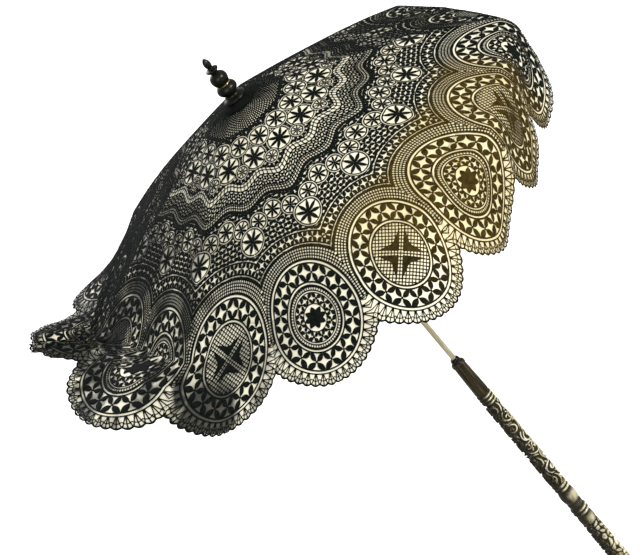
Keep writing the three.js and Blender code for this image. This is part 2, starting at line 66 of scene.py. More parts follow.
# ---- driving dimensions ---------------------------------------------------------------------
APEX = 500.0  # height of the canopy's apex above the grip's middle
RIB_COUNT = 8
GORE = 2 * np.pi / RIB_COUNT
SCALLOP = GORE / 2
RIB_REACH = 222.0
CROWN_SLOPE = 0.28
SLOPE_GAIN = 0.14
GORE_FLATTENING = 0.8
FLOUNCE_VALLEY = 43.8
FLOUNCE_TIP = 75.0
HANG_MOST = np.radians(95)  # of the flounce, below level
HANG_FLARE = np.radians(75)  # how much less it is on the side that flares out
HANG_SIDE = np.radians(-95.5)
HANG_POWER = 3.28
HANG_SKEW = 2.95
SWAY_SWING = np.radians(4)  # round the rim, at a scallop's tip
SWAY_MEAN = np.radians(-4)
SWAY_SIDE = np.radians(-15)
TUFT_AZIMUTH = np.radians(-85)  # beside the rib tip where the lace is gathered and stands up
TUFT_CORE = np.radians(5)
TUFT_EDGE = np.radians(48)
TUFT_LIFT = np.radians(45)
TUFT_PINCH = 0.84
TUFT_NECK = 20.0
PLEAT_COUNT = 56  # to the whole rim; only those in the tuft stand up
PLEAT_DEPTH = 2.7
FOLD_WAVES = ((2.0, 13, 0.4), (1.5, 21, 2.0), (0.9, 34, 1.0))  # height, count round the rim, phase
COVER_START = 12.0
SEAM_AT_RIB = 0.9
SEAM_AT_GORE = 0.994
BEND_START = 216.0  # where the cloth starts to turn down over the rib tips
BEND_LENGTH = 26.0
FLAT_WIDENING = 0.46  # how fast the flounce's pattern widens past the rim
LACE_OFFSET = -0.35  # threads' underside, outward of the cloth's surface
LINING_OFFSET = -0.75
LINING_THICK = 0.3
LINING_INSET = 2.4  # the lining stops this far inside the lace's hem

# depths below the apex of the stations down the rod
SOCKET_TOP = 335.0
COLLAR_TOP = 340.3
COLLAR_END = 382.6
SCROLL_TOP = 396.0
SCROLL_END = 511.7
BULGE_TOP = 521.9
BULGE_END = 546.0
LEAF_TOP = 569.7
LEAF_END = 640.0
POMMEL_END = 655.0
SEAM_GAP = 0.3
GRIP_RADIUS = 7.2
BUTT_RADIUS = 8.8

# ---- camera ---------------------------------------------------------------------------------
CAMERA_AZIMUTH = np.radians(5.4)
CAMERA_ELEVATION = np.radians(22.8)
CAMERA_DISTANCE = 2.135  # from the apex, in metres
CAMERA_AIM = Vector((-0.0445, -0.0042, 0.3166))
CAMERA_ROLL = np.radians(-40.6)
CAMERA_LENS = 140.6
AMBIENT = 0.42  # the surroundings' strength as light
LAMP_AIM = Vector((0, 0, 0.35))
FLOOR_SIZE = 14.0


def make_camera():
    """The rod runs down to the lower right, so the camera is rolled about its own axis."""
    data = bpy.data.cameras.new("camera")
    data.lens = CAMERA_LENS
    camera = bpy.data.objects.new("camera", data)
    level = np.cos(CAMERA_ELEVATION)
    away = Vector((np.sin(CAMERA_AZIMUTH) * level, -np.cos(CAMERA_AZIMUTH) * level, np.sin(CAMERA_ELEVATION)))
    place = Vector((0, 0, APEX * MM)) + away * CAMERA_DISTANCE
    turn = (CAMERA_AIM - place).to_track_quat("-Z", "Y").to_matrix().to_4x4()
    camera.matrix_world = Matrix.Translation(place) @ turn @ Matrix.Rotation(CAMERA_ROLL, 4, "Z")
    bpy.context.scene.collection.objects.link(camera)
    bpy.context.scene.camera = camera


def area_light(name, place, size, power, colour):
    data = bpy.data.lights.new(name, "AREA")
    data.size = size
    data.energy = power
    data.color = colour
    lamp = bpy.data.objects.new(name, data)
    aim = LAMP_AIM - Vector(place)
    lamp.matrix_world = Matrix.Translation(place) @ aim.to_track_quat("-Z", "Y").to_matrix().to_4x4()
    bpy.context.scene.collection.objects.link(lamp)


def for_camera(tree, level):
    """1 for what the camera sees directly, and a lower level for the light on other things."""
    seen = tree.nodes.new("ShaderNodeLightPath").outputs["Is Camera Ray"]
    return arithmetic(tree, "MAXIMUM", seen, level)


def make_studio():
    """A white floor and surroundings, dimmer as light than they look, with a key lamp at the
    right and weaker lamps in front and at the rear."""
    world = bpy.data.worlds.new("studio")
    world.use_nodes = True
    background = world.node_tree.nodes["Background"]
    background.inputs["Color"].default_value = (1, 1, 1, 1)
    world.node_tree.links.new(for_camera(world.node_tree, AMBIENT), background.inputs["Strength"])
    bpy.context.scene.world = world
    bpy.context.scene.view_settings.view_transform = "Standard"
    area_light("key", (2.3, -1.5, 1.9), 0.9, 92, (1, 0.985, 0.95))
    area_light("front", (-0.6, -2.6, 1.9), 1.8, 34, (0.98, 0.99, 1))
    area_light("rear", (-1.0, 2.4, 1.7), 1.6, 36, (0.99, 0.99, 1))
    mesh = bpy.data.meshes.new("floor")
    half = FLOOR_SIZE / 2
    corners = [(-half, -half, 0), (half, -half, 0), (half, half, 0), (-half, half, 0)]
    mesh.from_pydata(corners, [], [(0, 1, 2, 3)])
    floor = bpy.data.objects.new("floor", mesh)
    floor.location.z = CAD_BOUNDS[0][2]
    bpy.context.scene.collection.objects.link(floor)
    material, tree, shader = new_material("floor", 0.9)
    shader.inputs["Base Color"].default_value = (0.5, 0.5, 0.49, 1)
    shader.inputs["Emission Color"].default_value = (1, 1, 1, 1)
    tree.links.new(for_camera(tree, 0.0), shader.inputs["Emission Strength"])
    mesh.materials.append(material)


# ---- materials ------------------------------------------------------------------------------
def new_material(name, roughness, metallic=0.0):
    """A material with its tree and its shader."""
    material = bpy.data.materials.new(name)
    material.use_nodes = True
    shader = material.node_tree.nodes["Principled BSDF"]
    shader.inputs["Roughness"].default_value = roughness
    shader.inputs["Metallic"].default_value = metallic
    return material, material.node_tree, shader


def place_of(tree):
    """The point's place in the parasol's own frame, as an output socket."""
    return tree.nodes.new("ShaderNodeTexCoord").outputs["Object"]


def stretched(tree, scale):
    node = tree.nodes.new("ShaderNodeMapping")
    node.inputs["Scale"].default_value = scale
    tree.links.new(place_of(tree), node.inputs["Vector"])
    return node.outputs["Vector"]


def noise(tree, scale, detail=4.0, stretch=(1, 1, 1)):
    node = tree.nodes.new("ShaderNodeTexNoise")
    node.inputs["Scale"].default_value = scale
    node.inputs["Detail"].default_value = detail
    tree.links.new(stretched(tree, stretch), node.inputs["Vector"])
    return node.outputs["Fac"]


def arithmetic(tree, operation, first, second):
    """A Math node whose inputs are sockets or numbers."""
    node = tree.nodes.new("ShaderNodeMath")
    node.operation = operation
    for socket, value in zip(node.inputs, (first, second)):
        if isinstance(value, (int, float)):
            socket.default_value = value
        else:
            tree.links.new(value, socket)
    return node.outputs["Value"]


def fade(tree, value, low, high):
    """0 below low and 1 above high, smoothly; low may be the larger."""
    node = tree.nodes.new("ShaderNodeMapRange")
    node.interpolation_type = "SMOOTHSTEP"
    node.inputs["From Min"].default_value = low
    node.inputs["From Max"].default_value = high
    tree.links.new(value, node.inputs["Value"])
    return node.outputs["Result"]


def ramp(tree, value, stops):
    node = tree.nodes.new("ShaderNodeValToRGB")
    elements = node.color_ramp.elements
    for _ in stops[2:]:
        elements.new(0.5)
    for element, (position, colour) in zip(elements, stops):
        element.position = position
        element.color = (*colour, 1)
    tree.links.new(value, node.inputs["Fac"])
    return node.outputs["Color"]


def mixed(tree, share, first, second):
    node = tree.nodes.new("ShaderNodeMix")
    node.data_type = "RGBA"
    tree.links.new(share, node.inputs["Factor"])
    colours = [socket for socket in node.inputs if socket.type == "RGBA"]
    for socket, value in zip(colours, (first, second)):
        tree.links.new(value, socket)
    return next(socket for socket in node.outputs if socket.type == "RGBA")


def bump(tree, shader, height, strength, distance):
    node = tree.nodes.new("ShaderNodeBump")
    node.inputs["Strength"].default_value = strength
    node.inputs["Distance"].default_value = distance
    tree.links.new(height, node.inputs["Height"])
    tree.links.new(node.outputs["Normal"], shader.inputs["Normal"])


def radius_of(tree):
    """Distance from the rod's axis, in metres."""
    parts = tree.nodes.new("ShaderNodeSeparateXYZ")
    tree.links.new(place_of(tree), parts.inputs["Vector"])
    across = arithmetic(tree, "MULTIPLY", parts.outputs["X"], parts.outputs["X"])
    along = arithmetic(tree, "MULTIPLY", parts.outputs["Y"], parts.outputs["Y"])
    return arithmetic(tree, "SQRT", arithmetic(tree, "ADD", across, along), 0.0), parts


# places and distances of the fading, of the painted shade in the gathered folds and of the dark patch, in
# metres
FADE_BEGINS = np.radians((-12, 10))  # azimuths between which it grows from nothing to full
FADE_ENDS = np.radians((77, 63))
FADE_INNER = (0.148, 0.172)  # distances from the rod, likewise
RETREAT_FROM = 0.19  # distance from the rod past which the fading begins farther round
RETREAT_RATE = 4.5  # in radians to a metre
DARK_PATCH = (-0.168, -0.204, 0.381)  # middle of the dark at one scallop's hem
DARK_REACH = 0.043
PATCH_WANDER = 0.03
# painted shade of the gathered folds at the left
FOLD_SHADE_SIDE = (-0.03, -0.17)  # X at which the dark gathers begin and are full


def faded_share(tree):
    """How far light has faded the cloth: most over the arches at the front's right."""
    radius, parts = radius_of(tree)
    wander = arithmetic(tree, "SUBTRACT", noise(tree, 9.0), 0.5)
    forward = arithmetic(tree, "MULTIPLY", parts.outputs["Y"], -1.0)
    azimuth = arithmetic(tree, "ARCTAN2", parts.outputs["X"], forward)
    azimuth = arithmetic(tree, "ADD", azimuth, arithmetic(tree, "MULTIPLY", wander, 0.5))
    past = arithmetic(tree, "SUBTRACT", radius, RETREAT_FROM)
    retreat = arithmetic(tree, "MULTIPLY", past, RETREAT_RATE)
    begun = fade(tree, arithmetic(tree, "SUBTRACT", azimuth, retreat), *FADE_BEGINS)
    ended = fade(tree, azimuth, *FADE_ENDS)
    outer = arithmetic(tree, "ADD", radius, arithmetic(tree, "MULTIPLY", wander, 0.05))
    span = arithmetic(tree, "MULTIPLY", begun, ended)
    return arithmetic(tree, "MULTIPLY", span, fade(tree, outer, *FADE_INNER))


def patch_share(tree, middle, reach):
    """A soft-edged patch round a point, both given in metres."""
    away = tree.nodes.new("ShaderNodeVectorMath")
    away.operation = "DISTANCE"
    tree.links.new(place_of(tree), away.inputs[0])
    away.inputs[1].default_value = middle
    centred = arithmetic(tree, "SUBTRACT", noise(tree, 40.0), 0.5)
    wander = arithmetic(tree, "MULTIPLY", centred, PATCH_WANDER)
    return fade(tree, arithmetic(tree, "ADD", away.outputs["Value"], wander), reach, reach * 0.6)


def fold_shade_and_patch_share(tree):
    """Painted shade in streaks down the gathered cloth over the left side, and the dark at a hem there."""
    _, parts = radius_of(tree)
    left = fade(tree, parts.outputs["X"], *FOLD_SHADE_SIDE)
    folds = fade(tree, noise(tree, 34.0, 2.0, (1, 1, 0.25)), 0.4, 0.56)
    fold_shade = arithmetic(tree, "MULTIPLY", left, folds)
    return arithmetic(tree, "MAXIMUM", fold_shade, patch_share(tree, DARK_PATCH, DARK_REACH))


def lace_material():
    material, tree, shader = new_material("lace_silk", 0.75)
    shader.inputs["Specular IOR Level"].default_value = 0.05
    fine = noise(tree, 260.0)
    black = ramp(tree, fine, [(0.3, (0.0015, 0.0025, 0.002)), (0.75, (0.008, 0.011, 0.009))])
    brown = ramp(tree, fine, [(0.3, (0.02, 0.013, 0.002)), (0.75, (0.07, 0.045, 0.008))])
    tree.links.new(mixed(tree, faded_share(tree), black, brown), shader.inputs["Base Color"])
    bump(tree, shader, noise(tree, 1500.0, 2.0), 0.35, 0.0002)
    return material


def lining_material():
    material, tree, shader = new_material("lining_silk", 0.5)
    shader.inputs["Sheen Weight"].default_value = 0.25
    cloudy = noise(tree, 26.0)
    cream = ramp(tree, cloudy, [(0.25, (0.82, 0.77, 0.57)), (0.8, (0.9, 0.87, 0.71))])
    golden = ramp(tree, cloudy, [(0.25, (0.68, 0.57, 0.29)), (0.8, (0.84, 0.77, 0.5))])
    silk = mixed(tree, faded_share(tree), cream, golden)
    # near-black for the painted shade in the gathered folds and for the dark patch at a hem
    dark = ramp(tree, cloudy, [(0.25, (0.012, 0.012, 0.008)), (0.8, (0.07, 0.065, 0.042))])
    tree.links.new(mixed(tree, fold_shade_and_patch_share(tree), silk, dark), shader.inputs["Base Color"])
    warp = noise(tree, 900.0, 2.0, (1, 1, 0.2))
    weft = noise(tree, 900.0, 2.0, (0.2, 1, 1))
    weave = arithmetic(tree, "ADD", warp, weft)
    bump(tree, shader, weave, 0.2, 0.0002)
    return material


def crown_cloth_material():
    material, tree, shader = new_material("crown_cloth", 0.8)
    shader.inputs["Specular IOR Level"].default_value = 0.05
    colour = ramp(tree, noise(tree, 300.0), [(0.3, (0.002, 0.003, 0.0025)), (0.8, (0.008, 0.009, 0.008))])
    tree.links.new(colour, shader.inputs["Base Color"])
    bump(tree, shader, noise(tree, 1200.0, 3.0), 0.5, 0.0004)
    return material


def finial_material():
    """Ebonised wood, polished, with olive wear."""
    material, tree, shader = new_material("finial_ebonised", 0.3)
    shader.inputs["Specular IOR Level"].default_value = 0.2
    shader.inputs["Coat Weight"].default_value = 0.05
    patches = noise(tree, 90.0, 5.0, (1, 1, 1.4))
    colour = ramp(tree, patches, [(0.4, (0.002, 0.002, 0.001)), (0.66, (0.008, 0.008, 0.004)),
                                  (0.85, (0.06, 0.052, 0.02))])
    tree.links.new(colour, shader.inputs["Base Color"])
    bump(tree, shader, noise(tree, 420.0, 4.0), 0.15, 0.0004)
    return material


def walnut_material():
    """Dark wood with its grain along the rod."""
    material, tree, shader = new_material("walnut", 0.5)
    shader.inputs["Specular IOR Level"].default_value = 0.2
    grain = noise(tree, 520.0, 5.0, (1, 1, 0.05))
    broad = noise(tree, 120.0, 2.0, (1, 1, 0.1))
    colour = ramp(tree, arithmetic(tree, "MULTIPLY", arithmetic(tree, "ADD", grain, broad), 0.5),
                  [(0.4, (0.008, 0.006, 0.002)), (0.52, (0.036, 0.026, 0.009)), (0.64, (0.13, 0.1, 0.045))])
    tree.links.new(colour, shader.inputs["Base Color"])
    bump(tree, shader, grain, 0.5, 0.0006)
    return material


# Painted shade: the handle is painted darker towards this side of the rod, as shade.
SHADED_SIDE = (-0.866, -0.5)  # direction in which the handle is darkest, across the rod


def bone_material(name, stained_radius, clean_radius):
    """Old bone, darkened by staining and handling wherever it lies deeper than the clean radius,
    and with painted shade all down one side."""
    material, tree, shader = new_material(name, 0.42)
    shader.inputs["Specular IOR Level"].default_value = 0.25
    shader.inputs["Coat Weight"].default_value = 0.06
    radius, parts = radius_of(tree)
    wander = arithmetic(tree, "SUBTRACT", noise(tree, 380.0), 0.5)
    depth = arithmetic(tree, "ADD", radius, arithmetic(tree, "MULTIPLY", wander, 0.0006))
    clean = fade(tree, depth, stained_radius * MM, clean_radius * MM)
    # Painted shade: one side of the rod takes the dark colour as shade, and the other side stays pale as if
    # lit.
    facing = [arithmetic(tree, "MULTIPLY", arithmetic(tree, "DIVIDE", parts.outputs[axis], radius), share)
              for axis, share in zip("XY", SHADED_SIDE)]
    side_shade = arithmetic(tree, "ADD", *facing)
    lit_side_share = fade(tree, arithmetic(tree, "ADD", side_shade, wander), 0.8, -0.05)
    ivory = ramp(tree, noise(tree, 150.0, 5.0, (1, 1, 0.4)),
                 [(0.34, (0.3, 0.25, 0.12)), (0.5, (0.66, 0.6, 0.38)), (0.66, (0.92, 0.9, 0.74))])
    stain_and_shade = ramp(tree, noise(tree, 300.0), [(0.3, (0.006, 0.005, 0.001)), (0.8, (0.034, 0.028, 0.009))])
    share = arithmetic(tree, "MULTIPLY", clean, lit_side_share)
    tree.links.new(mixed(tree, share, stain_and_shade, ivory), shader.inputs["Base Color"])
    bump(tree, shader, noise(tree, 800.0, 4.0), 0.2, 0.0003)
    return material


def metal_material(name, dark, light, roughness):
    """Drawn metal with fine lengthwise marks and tarnish."""
    material, tree, shader = new_material(name, roughness, 1.0)
    tarnish = noise(tree, 160.0, 5.0, (1, 1, 0.3))
    tree.links.new(ramp(tree, tarnish, [(0.3, dark), (0.7, light)]), shader.inputs["Base Color"])
    bump(tree, shader, noise(tree, 900.0, 3.0, (1, 1, 0.05)), 0.12, 0.0002)
    return material


# ---- meshes ---------------------------------------------------------------------------------
def build_mesh(name, points, sizes, corners):
    """A smooth mesh from points in metres and faces given as their sizes and running corners."""
    mesh = bpy.data.meshes.new(name)
    mesh.vertices.add(len(points))
    mesh.vertices.foreach_set("co", np.asarray(points, np.float32).ravel())
    mesh.loops.add(len(corners))
    mesh.loops.foreach_set("vertex_index", np.asarray(corners, np.int32))
    mesh.polygons.add(len(sizes))
    mesh.polygons.foreach_set("loop_start", np.concatenate([[0], np.cumsum(sizes)[:-1]]).astype(np.int32))
    mesh.polygons.foreach_set("loop_total", np.asarray(sizes, np.int32))
    mesh.update(calc_edges=True)
    mesh.validate()
    mesh.polygons.foreach_set("use_smooth", np.ones(len(mesh.polygons), bool))
    return mesh


def add_piece(name, mesh, material, body, replaced=()):
    piece = bpy.data.objects.new(name, mesh)
    mesh.materials.append(material)
    bpy.context.scene.collection.objects.link(piece)
    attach(piece, body)
    if replaced:
        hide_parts(*replaced)
    return piece


def grid_faces(rows, columns, wraps=False):
    """Quads over a grid of points, rows by columns; the columns may close on themselves."""
    index = np.arange(rows * columns).reshape(rows, columns)
    if wraps:
        index = np.hstack([index, index[:, :1]])
    quads = np.stack([index[:-1, :-1], index[:-1, 1:], index[1:, 1:], index[1:, :-1]], axis=-1)
    return quads.reshape(-1, 4)


# ---- cloth surface --------------------------------------------------------------------------
def fall_at(ring):
    return CROWN_SLOPE * ring + SLOPE_GAIN * ring**2 / RIB_REACH


def gore_scale(azimuth):
    from_rib = np.mod(azimuth, GORE)
    chord = np.cos(GORE / 2) / np.cos(from_rib - GORE / 2)
    return 1 - GORE_FLATTENING * (1 - chord)


def from_tuft(azimuth):
    return np.mod(azimuth - TUFT_AZIMUTH + np.pi, 2 * np.pi) - np.pi


def smooth(share):
    held = np.clip(share, 0, 1)
    return held * held * (3 - 2 * held)


def tuft_share(azimuth):
    """How much the cloth at an azimuth belongs to the gathered tuft, from 0 to 1."""
    return smooth((TUFT_EDGE - np.abs(from_tuft(azimuth))) / (TUFT_EDGE - TUFT_CORE))


def hang_angle(azimuth):
    """How far below level the flounce hangs."""
    away = azimuth - HANG_SIDE
    power = HANG_POWER - HANG_SKEW * np.sin(away)
    flare = smooth(((1 + np.cos(away)) / 2) ** power)
    return HANG_MOST - HANG_FLARE * flare - TUFT_LIFT * tuft_share(azimuth)


def ripple(azimuth, way):
    """Soft folds that grow towards the hem, and the tuft's pleats, outward of the cloth."""
    drop = np.clip((way - BEND_START) / (FLOUNCE_TIP + RIB_REACH - BEND_START), 0, 1)
    folds = sum(height * np.sin(count * azimuth + phase) for height, count, phase in FOLD_WAVES)
    drawn = np.clip((way - RIB_REACH) / TUFT_NECK / 2, 0, 1) * tuft_share(azimuth) ** 3
    return drop * folds + drawn * PLEAT_DEPTH * np.sin(PLEAT_COUNT * azimuth)


def cloth_point(azimuth, way):
    """The cloth at an azimuth and a distance from the apex along it, in millimetres."""
    scale = gore_scale(azimuth)
    ring = np.minimum(way, BEND_START)
    before = np.arctan(CROWN_SLOPE + 2 * SLOPE_GAIN)
    after = hang_angle(azimuth)
    bent = np.clip((way - BEND_START) / BEND_LENGTH, 0, 1)
    arc = bent * BEND_LENGTH * np.sinc((after - before) * bent / (2 * np.pi))
    chord = before + (after - before) * bent / 2
    rest = np.maximum(0, way - BEND_START - BEND_LENGTH)
    steep = before + (after - before) * bent
    fold = ripple(azimuth, way)
    outward = arc * np.cos(chord) + rest * np.cos(after) + fold * np.sin(steep)
    fallen = arc * np.sin(chord) + rest * np.sin(after) - fold * np.cos(steep)
    free = np.maximum(0, way - RIB_REACH)
    sway = SWAY_SWING * np.cos(2 * (azimuth - SWAY_SIDE)) + SWAY_MEAN
    pinch = TUFT_PINCH * tuft_share(azimuth) * np.minimum(1, free / TUFT_NECK)
    turn = sway * free / FLOUNCE_TIP - from_tuft(azimuth) * pinch
    radius = ring * scale + outward
    height = APEX - fall_at(ring) - fallen
    return np.stack([radius * np.sin(azimuth + turn), -radius * np.cos(azimuth + turn), height], axis=-1)


def cloth_outward(azimuth, way):
    """The cloth's unit normal, pointing out of the canopy."""
    round_rim = cloth_point(azimuth + 0.004, way) - cloth_point(azimuth - 0.004, way)
    down_cloth = cloth_point(azimuth, way + 0.6) - cloth_point(azimuth, way - 0.6)
    normal = np.cross(down_cloth, round_rim)
    return normal / np.linalg.norm(normal, axis=-1, keepdims=True)


def seam_way(across):
    return RIB_REACH * (SEAM_AT_RIB + (SEAM_AT_GORE - SEAM_AT_RIB) * across**2)


def hem_way(across):
    scallop = np.abs(np.sin(np.pi * across)) ** 0.8
    return RIB_REACH + FLOUNCE_VALLEY + (FLOUNCE_TIP - FLOUNCE_VALLEY) * scallop


def flat_radius(way):
    return np.where(way < RIB_REACH, way, RIB_REACH + FLAT_WIDENING * (way - RIB_REACH))


# ---- lace pattern ---------------------------------------------------------------------------
# The pattern is drawn flat, in millimetres: side is the distance from a scallop's middle line
# and way the distance from the apex along the cloth. Each function gives how deep a point lies
# inside the threads: above zero is thread, below zero is a hole.
OVAL_MIDDLE = 234.0  # way of a medallion's middle
OVAL_HALF = (39.5, 50.0)  # outer tape of a medallion, across and along
OVAL_MEAN = (OVAL_HALF[0] + OVAL_HALF[1]) / 2
RING_SHARE = 0.61  # inner ring, as a share of the outer tape
TAPE_HALF = 1.5  # half the width of a two-line tape
THREAD = 0.68  # half the width of a tape's edge thread
NET_ARCH = 15.0  # the arch of net above a medallion, outside its outer tape
LEAF_ARCH = 27.0  # and the arch of leaves outside the net
ARCH_START = 128  # way from which the arches are drawn
ARCH_LEAVES = 42  # to the whole turn round a medallion
PICOT_TURN = np.radians(7.7)
PICOT_PITCH = 7.0
WAVE_UPPER = 92.0
WAVE_LOWER = 117.0
WAVE_RISE = -3.5
LADDER_HALF = 3.6  # half the width of the ladder along the upper wave
LEAVES_DEPTH = 0.62  # share of the wave band that the crossed leaves take up
CROWN_PATCH = 17.0
NET_END = 40.0


def wrap(value, pitch):
    """Distance from the nearest multiple of a pitch, with its sign."""
    return value - pitch * np.round(value / pitch)


def thread(distance, half):
    return half - np.abs(distance)


def tape(distance, half=TAPE_HALF, line=THREAD):
    """Two threads side by side."""
    return thread(np.abs(distance) - half, line)


def net(across, along, pitch, line):
    return np.maximum(thread(wrap(across, pitch), line), thread(wrap(along, pitch), line))


def leaf(across, along, start, end, width):
    """A woven leaf from one point to another, pointed at both ends."""
    run = (end[0] - start[0], end[1] - start[1])
    length = np.hypot(*run)
    share = ((across - start[0]) * run[0] + (along - start[1]) * run[1]) / length**2
    off = ((across - start[0]) * run[1] - (along - start[1]) * run[0]) / length
    return width / 2 * (1 - (2 * share - 1) ** 2) - np.abs(off)


def crossed_leaves(across, along, half_width, half_height, width):
    """Four leaves that meet in the middle of a cell and reach for its corners."""
    end = (half_width - 0.2, half_height - 0.2)
    body = leaf(np.abs(across), np.abs(along), (0.5, 0.5), end, width)
    return np.maximum(body, 0.9 - np.hypot(across, along))


def flower(across, along, petals, reach, width, turn=0.0):
    """Leaves that stand round a point."""
    angle = wrap(np.arctan2(across, along) + turn, 2 * np.pi / petals)
    radius = np.hypot(across, along)
    spoke = leaf(radius * np.sin(angle), radius * np.cos(angle), (0, 0.6), (0, reach), width)
    return np.maximum(spoke, reach * 0.12 - radius)


def leaf_lattice(across, along, pitch, width):
    """Crossed leaves all over, every other row moved by half a cell."""
    row = np.round(along / pitch)
    shifted = across + pitch / 2 * (row % 2)
    half = pitch / 2
    return crossed_leaves(wrap(shifted, pitch), along - row * pitch, half, half, width)


def oval(side, way):
    """Share of the medallion's outer tape, distance from it, and the angle round it."""
    across = side / OVAL_HALF[0]
    along = (way - OVAL_MIDDLE) / OVAL_HALF[1]
    share = np.hypot(across, along) + 1e-9
    slope = np.hypot(across / OVAL_HALF[0], along / OVAL_HALF[1]) / share
    return share, (share - 1) / slope, np.arctan2(across, along)


def leaf_ring(share, angle, inner, outer, count, width):
    """A band of crossed leaves between two rings of a medallion."""
    pitch = 2 * np.pi / count
    across = wrap(angle, pitch) * OVAL_MEAN * 0.5 * (inner + outer)
    along = (share - 0.5 * (inner + outer)) * OVAL_MEAN
    half_height = 0.5 * (outer - inner) * OVAL_MEAN
    half_width = 0.25 * pitch * OVAL_MEAN * (inner + outer)
    cell = crossed_leaves(across, along, half_width, half_height, width)
    return np.minimum(cell, half_height - np.abs(along) + 0.2)


def cross_centre(side, way):
    """Four notched arrowheads that point at the middle, on square net."""
    first = (side + way - OVAL_MIDDLE) * np.sqrt(0.5)
    second = (side - way + OVAL_MIDDLE) * np.sqrt(0.5)
    long = np.maximum(np.abs(first), np.abs(second))
    short = np.minimum(np.abs(first), np.abs(second))
    near_strip = short - 1.7 - 0.02 * long
    barb = (22.0, 2.1)  # an arrowhead's outer end, along the strip and beside it
    to_notch = (14.2, 5.8)  # from there, in along the strip and away from it
    edge_length = 15.3
    past_notch = ((barb[0] - long) * to_notch[1] - (short - barb[1]) * to_notch[0]) / edge_length
    arrow = np.minimum(near_strip, past_notch)
    mesh = net(first, second, 2.9, 0.42)
    strip = thread(short, 0.35)
    return np.maximum(np.maximum(arrow, mesh), strip)


def star_centre(side, way, share, angle):
    """A dark flower in a ring of small leaves, with net round it."""
    along = way - OVAL_MIDDLE
    heart = flower(side, along, 8, 10.5, 5.4)
    leaves = leaf_ring(share, angle, 0.27, 0.45, 12, 3.2)
    rings = np.maximum(thread((share - 0.26) * 45, 0.5), tape((share - 0.475) * 45, 0.9, 0.45))
    mesh = net(angle * OVAL_MEAN * 0.53, (share - 0.5) * OVAL_MEAN, 2.4, 0.36)
    mesh = np.where(share > 0.49, mesh, -1.0)
    return np.maximum.reduce([heart, leaves, rings, mesh])


def medallion(side, way, is_cross):
    share, away, angle = oval(side, way)
    middle = np.where(is_cross, cross_centre(side, way), star_centre(side, way, share, angle))
    middle = np.where(share < RING_SHARE - 0.03, middle, -1.0)
    ring = tape((share - RING_SHARE) * 44, 1.3)
    leaves = leaf_ring(share, angle, RING_SHARE + 0.04, 0.965, 16, 4.9)
    return np.maximum.reduce([middle, ring, leaves, tape(away)])


def picots(away, angle, inside, is_edge):
    """Fans of strands from the outer tape to a thick looped rim."""
    turn = wrap(angle, PICOT_TURN) / PICOT_TURN
    across = turn * PICOT_PITCH
    rim = inside - 1.7 * (1 - np.cos(np.pi * turn))
    fan = np.maximum.reduce([thread(across - lean * away * 0.3, 0.42) for lean in (-1, 0, 1)])
    loop = thread(rim - 5.2, 0.4)
    strands = np.maximum(fan, loop)
    edge = thread(rim - 0.9, 0.9)
    return np.where(is_edge, np.minimum(np.maximum(strands, edge), rim), -1.0)


def wave(turn, way, level):
    """Distance below an undulating line that swings once in a scallop."""
    return way - level - WAVE_RISE * np.cos(2 * np.pi * turn)


def crown_net(turn, way):
    """Dense net with rows of small holes that run down from the crown."""
    column = wrap(turn * 6, 1.0)
    row = wrap(way / 2.6 + np.round(turn * 6) * 0.5, 1.0)
    return (np.hypot(column, row) - 0.3) * 2.6


def ringed_stars(field, middles, petal_turn):
    """Eight-petalled flowers in looped tapes, laid over a field. Each middle is given as the
    distances across and along from it, and its petals' reach."""
    for across, along, reach in middles:
        radius = np.hypot(across, along)
        star = flower(across, along, 8, reach + 0.8, reach * 0.3, petal_turn)
        ring = tape(radius - reach - 1.8, 0.95, 0.55)
        field = np.where(radius < reach + 3.0, np.maximum(star, ring), field)
    return field


def upper_cells(turn, side, way):
    """Flowers between the crown net and the upper wave."""
    valley_side = (np.abs(turn) - 0.5) * SCALLOP * way
    middles = [(side, way - 72.0, 10.5), (valley_side, way - 54.0, 8.2), (valley_side, way - 80.5, 4.6)]
    return ringed_stars(leaf_lattice(side, way, 7.6, 3.5), middles, 0.0)


def middle_cells(turn, side, way):
    """Flowers between the lower wave and the arches."""
    valley_side = (np.abs(turn) - 0.5) * SCALLOP * way
    flank = np.abs(side) - 16.6
    middles = [(side, way - 128.5, 7.4), (flank, way - 133.0, 6.6), (valley_side, way - 148.0, 10.6)]
    return ringed_stars(leaf_lattice(side, way + 2.0, 8.0, 3.6), middles, np.pi / 8)


def wave_band(turn, way, upper, lower):
    """The band between the two waves: a ladder, crossed leaves and fine net."""
    depth = WAVE_LOWER - WAVE_UPPER
    leaves = leaf_lattice(turn * 8 * 5.4, upper - 0.42 * depth, 5.4, 2.3)
    mesh = net(turn * 18 * 2.6, lower, 2.6, 0.52)
    band = np.where(upper < LEAVES_DEPTH * depth, leaves, mesh)
    ladder = thread(wrap(turn, 1 / 10) * way * SCALLOP, 0.45)
    band = np.where(upper < LADDER_HALF, ladder, band)
    for line in (-LADDER_HALF, -0.6, LADDER_HALF, LEAVES_DEPTH * depth):
        band = np.maximum(band, thread(upper - line, 0.5))
    return band


def arch_field(away, angle):
    """The net and the leaves outside a medallion's outer tape."""
    mesh = net(angle * (OVAL_MEAN + 7), away, 2.5, 0.46)
    leaf_middle = 0.5 * (NET_ARCH + LEAF_ARCH)
    leaf_half = 0.5 * (LEAF_ARCH - NET_ARCH) - 1.4
    leaf_pitch = 2 * np.pi / ARCH_LEAVES
    across = wrap(angle, leaf_pitch) * (OVAL_MEAN + leaf_middle)
    leaves = crossed_leaves(across, away - leaf_middle, 4.6, leaf_half, 3.8)
    return np.where(away < NET_ARCH, mesh, leaves)


